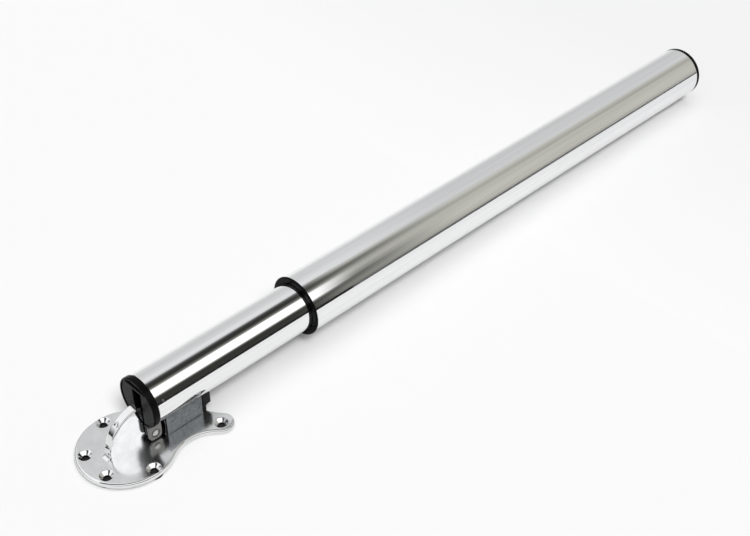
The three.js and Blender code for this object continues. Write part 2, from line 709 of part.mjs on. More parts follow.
// Slit friction ring around the cone, carried on the stud by its end wall.
function lockExpander() {
  const bore = STUD_RADIUS + GAP;
  const endWall = EXPANDER_END - EXPANDER_END_WALL;
  const seatStart = CONE_START + CONE_RIM;
  const slope = (CONE_BIG_RADIUS - CONE_SMALL_RADIUS) / (CONE_END - seatStart);
  const boreAt = (x) => CONE_BIG_RADIUS - slope * (x - seatStart) + EXPANDER_PLAY;
  const throat = CONE_END + 2;
  const body = onAxis(ringX([
    [EXPANDER_START, boreAt(EXPANDER_START)],
    [EXPANDER_START, EXPANDER_RADIUS - 0.8],
    [EXPANDER_START + 0.8, EXPANDER_RADIUS],
    [EXPANDER_END - 0.8, EXPANDER_RADIUS],
    [EXPANDER_END, EXPANDER_RADIUS - 0.8],
    [EXPANDER_END, bore],
    [endWall, bore],
    [endWall, boreAt(throat)],
    [throat, boreAt(throat)],
  ], 32));
  const slits = [];
  for (let i = 0; i < EXPANDER_SLITS; i += 1) {
    const slit = box([EXPANDER_START - 1, -1, 10], [endWall - 2, 1, EXPANDER_RADIUS + 2]);
    slits.push(onAxis(slit.rotateX(((i + 0.5) * 2 * Math.PI) / EXPANDER_SLITS)));
  }
  return piece('lock_expander', cut(body, ...slits), greyNylon);
}

// Hexagon stop nut on the stud's end.
function studNut() {
  const start = EXPANDER_END + 0.6;
  const hexagon = rodX(start, start + NUT_THICKNESS, NUT_RADIUS, 6);
  const bore = rodX(start - 1, start + NUT_THICKNESS + 1, STUD_RADIUS + GAP);
  return piece('stud_nut', onAxis(cut(hexagon, bore)), satinSteel);
}

// Split sleeve on the inner tube's end that runs in the outer tube.
function innerGuideSleeve() {
  const start = INNER_LENGTH - GUIDE_SLEEVE_LENGTH;
  const outer = OUTER_RADIUS - WALL - GAP;
  const inner = INNER_RADIUS + GAP;
  const sleeve = pipeX(start, INNER_LENGTH - GAP, outer, inner, 48);
  const split = box([start - 1, -1.5, inner - 2], [INNER_LENGTH + 1, 1.5, outer + 2]);
  return piece('inner_guide_sleeve', onAxis(cut(sleeve, split)), greyNylon);
}

// ---------------------------------------------------------------- outer leg

// Black collar: a rounded nose over the outer tube's mouth and a guide sleeve inside it.
function guideCollar() {
  const bore = INNER_RADIUS + GAP;
  const sleeve = OUTER_RADIUS - WALL - GAP;
  const nose = COLLAR_NOSE_RADIUS;
  const profile = [[COLLAR_START + 0.5, bore], [COLLAR_START, bore + 0.5]];
  const steps = 3;
  for (let i = 0; i <= steps; i += 1) {
    const angle = (i / steps) * (Math.PI / 2);
    profile.push([
      COLLAR_START + nose * (1 - Math.cos(angle)),
      COLLAR_RADIUS - nose * (1 - Math.sin(angle)),
    ]);
  }
  profile.push(
    [COLLAR_RIM_END, COLLAR_RADIUS],
    [COLLAR_RIM_END, sleeve],
    [COLLAR_RIM_END + COLLAR_SLEEVE_LENGTH, sleeve],
    [COLLAR_RIM_END + COLLAR_SLEEVE_LENGTH, bore],
  );
  return piece('guide_collar', onAxis(ringX(profile)), blackPlastic);
}

function outerTube() {
  const tube = pipeX(COLLAR_RIM_END + GAP, OUTER_TUBE_END, OUTER_RADIUS, OUTER_RADIUS - WALL);
  return piece('outer_tube', onAxis(tube), chrome);
}

// Cap with a barbed spigot in the tube and a pocket for the pad.
function footCap() {
  const spigot = OUTER_RADIUS - WALL - GAP;
  const face = FOOT_FACE - 0.5;
  const pocketFloor = FOOT_FACE - FOOT_PAD_THICKNESS - GAP;
  const start = OUTER_TUBE_END + GAP;
  const end = start - FOOT_SPIGOT_LENGTH;
  const profile = [
    [start - 2, 0],
    [start - 2, spigot - 3],
    [end, spigot - 3],
    [end, spigot - 1.2],
    [end + 2, spigot],
    [start, spigot],
    [start, OUTER_RADIUS],
    [face - 1.5, OUTER_RADIUS],
    [face - 0.4, OUTER_RADIUS - 0.5],
    [face, OUTER_RADIUS - 1.5],
    [face, FOOT_PAD_RADIUS + GAP],
    [pocketFloor, FOOT_PAD_RADIUS + GAP],
    [pocketFloor, 0],
  ];
  return piece('foot_cap', onAxis(turnedX(profile, TUBE_SEGMENTS)), blackPlastic);
}

function footPad() {
  const back = FOOT_FACE - FOOT_PAD_THICKNESS;
  const pad = turnedX([
    [back, 0],
    [back, FOOT_PAD_RADIUS],
    [FOOT_FACE - 0.5, FOOT_PAD_RADIUS],
    [FOOT_FACE, FOOT_PAD_RADIUS - 0.5],
    [FOOT_FACE, 0],
  ], 48);
  return piece('foot_pad', onAxis(pad), blackRubber);
}

// ---------------------------------------------------------------- assembly

const leg = new THREE.Group();
leg.position.set(PIVOT.x, 0, PIVOT.y);
leg.add(
  hingeFork(),
  pivotPin(),
  endPlug(),
  plugRivet('plug_rivet_near', -1),
  plugRivet('plug_rivet_far', 1),
  innerTube(),
  detentPlunger(),
  plungerClip(),
  detentSpring(),
  plungerBush(),
  lockPlug(),
  lockPlugPin(),
  lockStud(),
  lockCone(),
  lockExpander(),
  studNut(),
  innerGuideSleeve(),
  guideCollar(),
  outerTube(),
  footCap(),
  footPad(),
);

const tableLeg = new THREE.Group();
tableLeg.add(mountingPlate(), pivotBush(), cradleBumper(), leg);

export default tableLeg;
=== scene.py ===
import math

import bpy
import numpy as np
from mathutils import Matrix, Vector


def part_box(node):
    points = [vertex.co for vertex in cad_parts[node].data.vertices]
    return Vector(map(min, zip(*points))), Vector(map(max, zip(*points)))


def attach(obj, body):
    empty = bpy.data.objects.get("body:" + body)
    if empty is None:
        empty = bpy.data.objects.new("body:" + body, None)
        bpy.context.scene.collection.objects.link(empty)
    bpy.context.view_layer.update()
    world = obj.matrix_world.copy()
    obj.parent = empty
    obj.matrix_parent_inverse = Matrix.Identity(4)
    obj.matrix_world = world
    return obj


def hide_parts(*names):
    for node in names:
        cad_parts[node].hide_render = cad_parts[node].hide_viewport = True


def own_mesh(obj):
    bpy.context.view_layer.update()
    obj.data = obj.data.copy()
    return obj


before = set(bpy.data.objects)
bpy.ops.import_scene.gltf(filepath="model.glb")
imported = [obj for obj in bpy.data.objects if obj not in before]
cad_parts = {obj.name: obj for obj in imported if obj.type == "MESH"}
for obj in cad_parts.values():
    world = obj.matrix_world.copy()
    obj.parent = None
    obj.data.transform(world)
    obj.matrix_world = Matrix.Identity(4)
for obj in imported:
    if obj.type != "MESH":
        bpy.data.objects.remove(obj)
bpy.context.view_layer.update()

MM = 0.001

# ---------------------------------------------------------------- sizes, all in millimetres


def node_box(node):
    """(lowest corner, highest corner) of a CAD node."""
    low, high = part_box(node)
    return np.array(low) / MM, np.array(high) / MM


GAP = 0.3

# Mounting plate
PLATE_TOP = 5.0
PLATE_ROUNDING = 2.0
PLATE_FOOT_ROUNDING = 0.4
DISC_RADIUS = 46.0
DISC_SCREWS = [(38.5, 87.5), (36.8, 153.5), (36.8, -153.5), (38.5, -87.5)]  # reach, bearing in degrees
EAR = (80.5, 36.2)
EAR_RADIUS = 11.8
EAR_SCREW = (79.2, 37.0)
NECK_RADIUS = 36.0
END_EDGE_X = 78.0
SCREW_RADIUS = 3.1
COUNTERSINK_RADIUS = 6.5
COUNTERSINK_DEPTH = 3.3
HOLE_EDGE = 0.25

# Fin
FIN_HALF = 5.0
FIN_RADIUS = 35.5
FIN_X, FIN_Z = 16.2, 9.5
FIN_FOOT = 5.0
FIN_EDGE = 1.7
FIN_BOTTOM = 2.5  # inside the plate
DIMPLE_RADIUS = 4.2
DIMPLE_DEPTH = 1.0
PLUNGER_RADIUS = 4.0

# Pivot and the tubes' axis
PIVOT_X, PIVOT_Z = 24.2, 13.7
AXIS_RISE = 33.0
AXIS_Z = PIVOT_Z + AXIS_RISE
PIN_RADIUS = 2.8
PIN_HEAD_RADIUS = 3.6
PIN_RECESS_RADIUS = 4.4
PIN_RECESS_DEPTH = 1.0
BUSH_WALL = 1.2
EYE_CUT_HALF = 9.0  # past the fin's sides, and short of the cradle's walls

# Cradle and its buffer
CRADLE_BOTTOM = 2.0  # inside the plate
WALL_EDGE, BRIDGE_EDGE, SEAT_EDGE = 0.9, 0.5, 0.5
LIP_EDGE, NECK_EDGE = 0.8, 0.6
WALL_IN, WALL_OUT = 12.0, 16.2
WALL_START = 35.0
BRIDGE_START, BRIDGE_TOP = 66.0, 19.0
SEAT_X, NECK_X, BUMPER_END = 75.5, 79.2, 84.8
LIP_Z, LIP_FILLET = 13.0, 1.5
CRADLE_TOP = 28.7
CRADLE_ROOT = 0.9
STEM_Z, STEM_RADIUS = 13.0, 3.0
BARB_RADIUS, BARB_LENGTH, BARB_TAPER = 4.0, 5.0, 0.5

# Tubes
INNER_RADIUS = 25.0
OUTER_RADIUS = 30.0
WALL = 1.5
INNER_START, INNER_END = (v[0] for v in node_box("inner_tube"))
OUTER_START, OUTER_END = (v[0] for v in node_box("outer_tube"))
SLOT_LENGTH = 34.0
SLOT_HALF = 6.0
NOTCH_HALF = 13.4
LOCK_PIN_X, LOCK_PIN_BORE = 572.0, 2.8  # from the pivot

# End plug
FLANGE_RADIUS = 25.7
FLANGE_THICKNESS = 6.7
SPIGOT_LENGTH = 16.0
SLOT_TOP = 15.3
RIB_HEIGHT = 2.5
GROOVE_HEIGHT = 2.6
GROOVE_HALF = 13.0
FACE_SINK = 0.8
FACE_RADIUS = 23.6
CHEEK_HALF = 6.4
RIVET_X, RIVET_ANGLE, RIVET_RADIUS = 6.2, 26.0, 1.1

# Hinge fork
EAR_IN, EAR_OUT = 10.5, 13.0
LOBE_HALF, LOBE_DROP, LOBE_TOP, LOBE_CORNER = 6.8, 7.3, 9.8, 4.5
ARM_START, ARM_BELOW, ARM_ABOVE = 1.0, 18.4, 10.0
WEB_X, WEB_THICKNESS = 51.5, 2.5

# Spring
SPRING_WIRE, SPRING_MEAN, SPRING_TURNS = 0.7, 5.3, 7

ROUND = 192  # sides of a big turned surface
SMALL_ROUND = 96
RIVET_ROUND = 48
# Edges stay sharp from these angles, in degrees: on turned and cut shapes, and on cast ones.
SHARP_EDGE, CREASE = 32, 38

# ---------------------------------------------------------------- places worked out from the sizes

# Where a body turned about the pivot goes.
ACROSS = Matrix.Translation((PIVOT_X, 0, PIVOT_Z)) @ Matrix.Rotation(math.pi / 2, 4, "Z")


def plate_outline():
    """The outline's circles and the tangent points between them: a disc, two hollow necks,
    two ears and a hollow end edge."""
    to_neck, from_ear = DISC_RADIUS + NECK_RADIUS, EAR_RADIUS + NECK_RADIUS
    span = math.hypot(*EAR)
    along = (to_neck ** 2 - from_ear ** 2 + span ** 2) / (2 * span)
    aside = math.sqrt(to_neck ** 2 - along ** 2)
    unit = np.array(EAR) / span
    neck = unit * along + np.array([-unit[1], unit[0]]) * aside
    reach = EAR[0] - END_EDGE_X
    end_radius = (EAR[1] ** 2 + reach ** 2 - EAR_RADIUS ** 2) / (2 * (EAR_RADIUS + reach))
    end = np.array([END_EDGE_X + end_radius, 0])
    on_disc = neck * DISC_RADIUS / to_neck
    to_ear = (neck - EAR) / from_ear
    on_ear = EAR + to_ear * EAR_RADIUS
    to_end = (end - EAR) / np.linalg.norm(end - EAR)
    on_end = EAR + to_end * EAR_RADIUS
    half = [on_disc, on_ear, on_end]
    corners = half + [np.array([c[0], -c[1]]) for c in half[::-1]]
    return neck, end, end_radius, corners


def screw_places():
    places = [(r * math.cos(math.radians(a)), r * math.sin(math.radians(a))) for r, a in DISC_SCREWS]
    return places + [EAR_SCREW, (EAR_SCREW[0], -EAR_SCREW[1])]


def dimple_centre():
    """Where the plunger's nose would drop in with the leg upright."""
    across = PIVOT_X - AXIS_RISE - FIN_X
    reach = FIN_RADIUS + PLUNGER_RADIUS
    up = math.sqrt(reach ** 2 - across ** 2)
    scale = (FIN_RADIUS - DIMPLE_DEPTH + DIMPLE_RADIUS) / reach
    return FIN_X + across * scale, FIN_Z + up * scale


NECK, END, END_RADIUS, OUTLINE = plate_outline()
SCREWS = screw_places()
DIMPLE = dimple_centre()

# ---------------------------------------------------------------- meshes


def add_mesh(name, points, faces, material, normals=None):
    """A mesh object from points in millimetres."""
    mesh = bpy.data.meshes.new(name)
    mesh.from_pydata((np.asarray(points, float) * MM).tolist(), [], faces)
    mesh.polygons.foreach_set("use_smooth", [True] * len(mesh.polygons))
    if normals is None:
        mesh.set_sharp_from_angle(angle=math.radians(SHARP_EDGE))
    else:
        mesh.normals_split_custom_set(corner_normals(mesh, normals).tolist())
    mesh.update()
    obj = bpy.data.objects.new(name, mesh)
    bpy.context.scene.collection.objects.link(obj)
    if material:
        mesh.materials.append(material)
    return obj


def corner_normals(mesh, normals):
    """Each point's own normal. At a crease a face's corner takes what the rest of that face has, so that
    the crease stays crisp."""
    corners = np.empty(len(mesh.loops), int)
    mesh.loops.foreach_get("vertex_index", corners)
    flat = np.empty(len(mesh.polygons) * 3)
    mesh.polygons.foreach_get("normal", flat)
    flat = flat.reshape(-1, 1, 3)
    own = normals[corners].reshape(len(flat), -1, 3)
    fair = ((own * flat).sum(2) > math.cos(math.radians(CREASE)))[..., None]
    rest = (own * fair).sum(1, keepdims=True) + flat * 1e-6
    rest /= np.linalg.norm(rest, axis=2, keepdims=True)
    return np.where(fair, own, rest).reshape(-1, 3)


def rounded(corners, steps=5, closed=True):
    """The outline with its corners rounded. A corner is (x, r) or (x, r, rounding)."""
    out = []
    count = len(corners)
    for i, corner in enumerate(corners):
        here = np.array(corner[:2], float)
        size = corner[2] if len(corner) > 2 else 0
        at_end = not closed and i in (0, count - 1)
        if not size or at_end:
            out.append(here)
            continue
        before = np.array(corners[i - 1][:2], float) - here
        after = np.array(corners[(i + 1) % count][:2], float) - here
        a, b = before / np.linalg.norm(before), after / np.linalg.norm(after)
        half = math.acos(np.clip(a @ b, -1, 1)) / 2
        middle = here + (a + b) / np.linalg.norm(a + b) * size / math.sin(half)
        start = here + a * size / math.tan(half) - middle
        end = here + b * size / math.tan(half) - middle
        turn = math.pi - 2 * half
        for k in range(steps + 1):
            t = k / steps
            arc = (start * math.sin((1 - t) * turn) + end * math.sin(t * turn)) / math.sin(turn)
            out.append(middle + arc)
    return supported(out, closed)


def supported(outline, closed, margin=0.6):
    """The outline with extra points close to the ends of its long sides, so that they stay flat
    to the eye."""
    out = []
    ends = outline[1:] + outline[:1] if closed else outline[1:]
    for here, there in zip(outline, ends):
        out.append(here)
        length = np.linalg.norm(there - here)
        if length > 4 * margin:
            step = (there - here) / length * margin
            out += [here + step, there - step]
    return out if closed else out + [outline[-1]]


def turned(name, corners, material, segments=ROUND, ring=True, place=None):
    """A body turned about the leg's axis. Corners are (along the leg from the pivot, radius[, rounding]);
    a ring is closed, and anything else starts and ends on the axis."""
    profile = rounded(corners, closed=ring)
    angles = np.arange(segments) * 2 * math.pi / segments
    points, rows = [], []
    for x, radius in profile:
        if radius < 1e-6:
            rows.append([len(points)])
            points.append((x, 0, 0))
        else:
            rows.append(list(range(len(points), len(points) + segments)))
            points += [(x, radius * math.cos(a), radius * math.sin(a)) for a in angles]
    faces = []
    pairs = list(zip(rows, rows[1:] + rows[:1])) if ring else list(zip(rows, rows[1:]))
    for low, high in pairs:
        for k in range(segments):
            n = (k + 1) % segments
            face = [low[k % len(low)], high[k % len(high)], high[n % len(high)], low[n % len(low)]]
            face = [v for i, v in enumerate(face) if v not in face[:i]]
            if len(face) > 2:
                faces.append(face)
    move = place if place is not None else Matrix.Translation((PIVOT_X, 0, AXIS_Z))
    points = [move @ Vector(p) for p in points]
    if signed_volume(points, faces) < 0:
        faces = [face[::-1] for face in faces]
    return add_mesh(name, points, faces, material)


def signed_volume(points, faces):
    """Six times the volume inside a closed mesh, negative where its faces point inward."""
    total = 0
    for face in faces:
        for i in range(1, len(face) - 1):
            a, b, c = points[face[0]], points[face[i]], points[face[i + 1]]
            total += a.dot(b.cross(c))
    return total


def block(low, high):
    """A plain cutter, in millimetres in the row frame."""
    corners = [(x, y, z) for x in (low[0], high[0]) for y in (low[1], high[1]) for z in (low[2], high[2])]
    faces = [(0, 1, 3, 2), (4, 6, 7, 5), (0, 4, 5, 1), (2, 3, 7, 6), (0, 2, 6, 4), (1, 5, 7, 3)]
    return add_mesh("cutter", corners, faces, None)


def cut(obj, *cutters):
    """Takes the cutters out of obj, and throws them away."""
    for cutter in cutters:
        modifier = obj.modifiers.new("cut", "BOOLEAN")
        modifier.operation = "DIFFERENCE"
        modifier.solver = "EXACT"
        modifier.object = cutter
    bpy.context.view_layer.update()
    shown = obj.evaluated_get(bpy.context.evaluated_depsgraph_get())
    mesh = bpy.data.meshes.new_from_object(shown)
    obj.modifiers.clear()
    old = obj.data
    obj.data = mesh
    bpy.data.meshes.remove(old)
    mesh.polygons.foreach_set("use_smooth", [True] * len(mesh.polygons))
    mesh.set_sharp_from_angle(angle=math.radians(SHARP_EDGE))
    for cutter in cutters:
        bpy.data.objects.remove(cutter)
    return obj


# ---------------------------------------------------------------- cast and moulded shapes
# A cast shape is a field: the distance to its surface in millimetres, negative inside it.


def between(value, low, high):
    """How far value is outside low to high, negative inside."""
    return np.abs(value - (low + high) / 2) - (high - low) / 2


def joined(a, b, fillet=0.0):
    """Both shapes, with a fillet where they meet."""
    if not fillet:
        return np.minimum(a, b)
    inner = np.hypot(np.maximum(fillet - a, 0), np.maximum(fillet - b, 0))
    return np.maximum(fillet, np.minimum(a, b)) - inner


def common(a, b, rounding=0.0):
    """What is in both shapes, with rounded edges where they meet."""
    if not rounding:
        return np.maximum(a, b)
    outer = np.hypot(np.maximum(rounding + a, 0), np.maximum(rounding + b, 0))
    return np.minimum(-rounding, np.maximum(a, b)) + outer


def less(a, b, rounding=0.0):
    return common(a, -b, rounding)


def cuboid(p, low, high, rounding=0.0):
    sides = [between(p[i], low[i], high[i]) for i in range(3)]
    return common(common(sides[0], sides[1], rounding), sides[2], rounding)


def tube_about_leg(p, radius):
    return np.hypot(p[1], p[2] - AXIS_Z) - radius


def bar_along_y(p, x, z, radius):
    return np.hypot(p[0] - x, p[2] - z) - radius


def crossings(values):
    """The surface net's points in grid steps, and its faces."""
    inside = values < 0
    shape = np.array(values.shape) - 1
    stride = np.array([shape[1] * shape[2], shape[2], 1])
    cells, spots, quads = [], [], []
    for axis in range(3):
        near = [slice(None)] * 3
        far = [slice(None)] * 3
        near[axis], far[axis] = slice(0, -1), slice(1, None)
        a, b = values[tuple(near)], values[tuple(far)]
        place = np.argwhere(inside[tuple(near)] != inside[tuple(far)])
        va, vb = a[tuple(place.T)], b[tuple(place.T)]
        spot = place.astype(float)
        spot[:, axis] += va / (va - vb)
        u, v = np.eye(3, dtype=int)[(axis + 1) % 3], np.eye(3, dtype=int)[(axis + 2) % 3]
        around = [(place - du * u - dv * v) @ stride for du, dv in ((0, 0), (1, 0), (1, 1), (0, 1))]
        cells += around
        spots += [spot] * 4
        quad = np.stack(around, 1)
        quads.append(np.where((va < 0)[:, None], quad, quad[:, ::-1]))
    names, which = np.unique(np.concatenate(cells), return_inverse=True)
    spots = np.concatenate(spots)
    count = np.bincount(which)
    points = np.stack([np.bincount(which, spots[:, k]) / count for k in range(3)], 1)
    faces = np.searchsorted(names, np.concatenate(quads))
    return points, faces


def slope(field, p, step):
    """The field's gradient at each point."""
    out = []
    for k in range(3):
        high, low = list(p), list(p)
        high[k], low[k] = p[k] + step, p[k] - step
        out.append((field(high) - field(low)) / (2 * step))
    return np.stack(out, 1)


def cast(name, field, low, high, cell, material):
    """A closed mesh of the field's surface, with every point drawn on to it."""
    axes = [np.arange(low[k] - 2.3 * cell, high[k] + 3 * cell, cell) for k in range(3)]
    grid = np.meshgrid(*axes, indexing="ij", sparse=True)
    values = np.broadcast_to(field(grid), [len(a) for a in axes])
    spots, faces = crossings(values)
    points = spots * cell + np.array([a[0] for a in axes])
    for _ in range(6):
        p = [points[:, 0], points[:, 1], points[:, 2]]
        g = slope(field, p, 0.05 * cell)
        move = g * (field(p) / np.maximum((g * g).sum(1), 0.3))[:, None]
        length = np.linalg.norm(move, axis=1, keepdims=True)
        points = points - move * np.minimum(1, 0.5 * cell / np.maximum(length, 1e-9))
    normals = slope(field, [points[:, 0], points[:, 1], points[:, 2]], 0.1 * cell)
    normals /= np.maximum(np.linalg.norm(normals, axis=1, keepdims=True), 1e-9)
    return add_mesh(name, points, faces.tolist(), material, normals)


# ---------------------------------------------------------------- materials


class Surface:
    """A procedural material, built up round one Principled shader."""

    def __init__(self, name, roughness, metallic=0.0):
        self.made = bpy.data.materials.new(name)
        self.made.use_nodes = True
        self.tree = self.made.node_tree
        self.shader = self.tree.nodes["Principled BSDF"]
        self.shader.inputs["Roughness"].default_value = roughness
        self.shader.inputs["Metallic"].default_value = metallic
        self.place = self.tree.nodes.new("ShaderNodeTexCoord").outputs["Object"]

    def link(self, a, b):
        self.tree.links.new(a, b)

    def node(self, kind, **values):
        made = self.tree.nodes.new("ShaderNode" + kind)
        for key, value in values.items():
            setattr(made, key, value)
        return made

    def noise(self, scale, stretch=(1, 1, 1), detail=4.0, roughness=0.55):
        """Noise with features about 1 / scale metres across, longer where stretch is below 1."""
        mapping = self.node("Mapping")
        mapping.inputs["Scale"].default_value = stretch
        self.link(self.place, mapping.inputs["Vector"])
        texture = self.node("TexNoise")
        texture.inputs["Scale"].default_value = scale
        texture.inputs["Detail"].default_value = detail
        texture.inputs["Roughness"].default_value = roughness
        self.link(mapping.outputs["Vector"], texture.inputs["Vector"])
        return texture.outputs["Fac"]

    def ranged(self, value, low, high, start=0.3, end=0.7):
        made = self.node("MapRange")
        for key, number in (("From Min", start), ("From Max", end), ("To Min", low), ("To Max", high)):
            made.inputs[key].default_value = number
        self.link(value, made.inputs["Value"])
        return made.outputs["Result"]

    def math(self, kind, a, b=None):
        made = self.node("Math", operation=kind)
        for socket, value in zip(made.inputs, (a, b)):
            if isinstance(value, (int, float)):
                socket.default_value = value
            elif value is not None:
                self.link(value, socket)
        return made.outputs["Value"]

    def within(self, value, low, high, soft=0.05):
        """1 where value is from low to high millimetres, fading to 0 over soft millimetres outside."""
        up, down = self.node("MapRange"), self.node("MapRange")
        for made, start, end in ((up, low - soft, low), (down, high + soft, high)):
            made.inputs["From Min"].default_value = start * MM
            made.inputs["From Max"].default_value = end * MM
            self.link(value, made.inputs["Value"])
        return self.math("MULTIPLY", up.outputs["Result"], down.outputs["Result"])

    def along(self, axis):
        """The row frame's x, y or z, in metres."""
        parts = self.node("SeparateXYZ")
        self.link(self.place, parts.inputs["Vector"])
        return parts.outputs[axis]

    def near_screws(self, radius):
        """1 within a radius, in millimetres, of any screw's axis."""
        x, y = self.along("X"), self.math("ABSOLUTE", self.along("Y"))
        near = None
        for place in {(round(a, 3), round(abs(b), 3)) for a, b in SCREWS}:
            across = self.math("SUBTRACT", x, place[0] * MM)
            aside = self.math("SUBTRACT", y, place[1] * MM)
            squares = [self.math("MULTIPLY", offset, offset) for offset in (across, aside)]
            reach = self.math("ADD", *squares)
            found = self.math("LESS_THAN", reach, (radius * MM) ** 2)
            near = found if near is None else self.math("ADD", near, found)
        return near

    def mix(self, share, a, b):
        """A number between a and b."""
        made = self.node("Mix")
        for socket, value in zip((made.inputs[0], made.inputs[2], made.inputs[3]), (share, a, b)):
            if isinstance(value, (int, float)):
                socket.default_value = value
            else:
                self.link(value, socket)
        return made.outputs[0]

    def colour(self, value, dark, light, stops=()):
        """A colour from dark at 0.3 to light at 0.7, by value, with more (place, colour) stops if given."""
        made = self.node("ValToRGB")
        elements = made.color_ramp.elements
        for element, place, tone in ((elements[0], 0.3, dark), (elements[1], 0.7, light)):
            element.position = place
            element.color = (*tone, 1)
        for place, tone in stops:
            elements.new(place).color = (*tone, 1)
        self.link(value, made.inputs["Fac"])
        self.link(made.outputs["Color"], self.shader.inputs["Base Color"])

    def rough(self, value):
        self.link(value, self.shader.inputs["Roughness"])

    def bump(self, height, depth):
        """Relief of about depth millimetres."""
        made = self.node("Bump")
        made.inputs["Distance"].default_value = depth * MM
        self.link(height, made.inputs["Height"])
        self.link(made.outputs["Normal"], self.shader.inputs["Normal"])


def tube_chrome():
    """Bright plating on drawn tube: faint lines along it, and a softer gloss here and there."""
    s = Surface("tube_chrome", 0.05, 1)
    lines = s.noise(420, (0.01, 1, 1), 3)
    s.colour(lines, (0.80, 0.805, 0.81), (0.88, 0.885, 0.89))
    s.rough(s.ranged(s.noise(30, (0.1, 1, 1)), 0.035, 0.09))
    s.bump(lines, 0.002)
    return s.made


# Near black: painted shade in the screw bores under the countersinks.
PAINTED_BORE_SHADE = (0.02, 0.02, 0.02)
FLANK_DARK, FLANK_LIGHT = (0.10, 0.112, 0.118), (0.28, 0.297, 0.304)


def cast_chrome():
    """Plated die casting: bright and slightly wavy, polished in the countersinks, with painted shade (near
    black) in the screw bores below them, and satin on the outsides of the cradle's walls."""
    s = Surface("cast_chrome", 0.08, 1)
    wave = s.noise(55, detail=2)
    mottle = s.noise(260, detail=3)
    x, z = s.along("X"), s.along("Z")
    y = s.math("ABSOLUTE", s.along("Y"))
    flank = s.math("MULTIPLY", s.within(y, WALL_OUT - 0.6, WALL_OUT + 2),
                   s.math("GREATER_THAN", z, (PLATE_TOP + 0.03) * MM))
    flank = s.math("MULTIPLY", flank, s.math("GREATER_THAN", x, (WALL_START - 1) * MM))
    polished = s.near_screws(COUNTERSINK_RADIUS + 0.1)
    top = s.within(z, PLATE_TOP - 0.1, PLATE_TOP + 0.1)
    # Painted shade: the screw bores below the countersinks are coloured near black.
    bore = s.math("MULTIPLY", polished, s.math("LESS_THAN", z, (PLATE_TOP - COUNTERSINK_DEPTH + 0.15) * MM))
    tone = s.mix(flank, s.ranged(s.noise(90), 0.3, 0.7), s.ranged(mottle, 0.1, 0.27))
    tone = s.mix(bore, tone, 0.0)
    s.colour(tone, (0.71, 0.715, 0.72), (0.80, 0.805, 0.81),
             [(0.0, PAINTED_BORE_SHADE), (0.1, FLANK_DARK), (0.27, FLANK_LIGHT)])
    rough = s.mix(top, s.ranged(wave, 0.05, 0.09), s.ranged(wave, 0.15, 0.21))
    rough = s.mix(flank, rough, s.ranged(mottle, 0.3, 0.5))
    rough = s.mix(polished, rough, 0.04)
    s.rough(rough)
    s.bump(wave, 0.05)
    return s.made


def metal(name, dark, light, roughness, grain, stretch=(1, 1, 1)):
    """Bare metal with a fine grain, longer where stretch is below 1."""
    s = Surface(name, roughness, 1)
    texture = s.noise(grain, stretch)
    s.colour(texture, dark, light)
    s.rough(s.ranged(texture, roughness * 0.8, roughness * 1.3))
    s.bump(texture, 0.006)
    return s.made


def plastic(name, dark, light, roughness, grain, depth, gloss=0.3):
    """Moulded plastic or rubber, with a grain depth millimetres deep."""
    s = Surface(name, roughness)
    s.shader.inputs["Specular IOR Level"].default_value = gloss
    texture = s.noise(grain)
    s.colour(texture, dark, light)
    s.rough(s.ranged(s.noise(60), roughness * 0.85, roughness * 1.2))
    s.bump(texture, depth)
    return s.made


TUBE_CHROME = tube_chrome()
CAST_CHROME = cast_chrome()
SATIN_STEEL = metal("satin_steel", (0.165, 0.16, 0.156), (0.25, 0.246, 0.238), 0.34, 400, (0.2, 1, 1))
PIN_STEEL = metal("pin_steel", (0.42, 0.42, 0.42), (0.52, 0.52, 0.51), 0.2, 300)
BRASS = metal("brass", (0.55, 0.38, 0.13), (0.68, 0.49, 0.19), 0.3, 250)
BLACK_PLASTIC = plastic("black_plastic", (0.002, 0.002, 0.0022), (0.004, 0.004, 0.0044), 0.2, 900, 0.004,
                        gloss=0.04)
NYLON = plastic("nylon", (0.24, 0.25, 0.24), (0.31, 0.32, 0.31), 0.45, 500, 0.02)
RUBBER = plastic("rubber", (0.005, 0.005, 0.005), (0.010, 0.010, 0.010), 0.55, 700, 0.03, gloss=0.2)

# ---------------------------------------------------------------- mounting plate


def polygon(x, y, corners):
    """Distance to a polygon whose corners run either way round."""
    nearest, inside = None, False
    for a, b in zip(corners, corners[1:] + corners[:1]):
        edge = b - a
        wx, wy = x - a[0], y - a[1]
        t = np.clip((wx * edge[0] + wy * edge[1]) / (edge @ edge), 0, 1)
        reach = (wx - t * edge[0]) ** 2 + (wy - t * edge[1]) ** 2
        nearest = reach if nearest is None else np.minimum(nearest, reach)
        crosses = ((a[1] > y) != (b[1] > y)) & (wx < edge[0] * wy / (edge[1] or 1e-9))
        inside = inside ^ crosses
    return np.sqrt(nearest) * np.where(inside, -1.0, 1.0)


def blank_field(p):
    """The flat plate, without its holes."""
    x, y, z = p
    side = np.abs(y)
    flat = joined(np.hypot(x, y) - DISC_RADIUS, np.hypot(x - EAR[0], side - EAR[1]) - EAR_RADIUS)
    flat = joined(flat, polygon(x, y, OUTLINE))
    flat = less(flat, np.hypot(x - NECK[0], side - NECK[1]) - NECK_RADIUS)
    flat = less(flat, np.hypot(x - END[0], y) - END_RADIUS)
    return common(common(flat, z - PLATE_TOP, PLATE_ROUNDING), -z, PLATE_FOOT_ROUNDING)


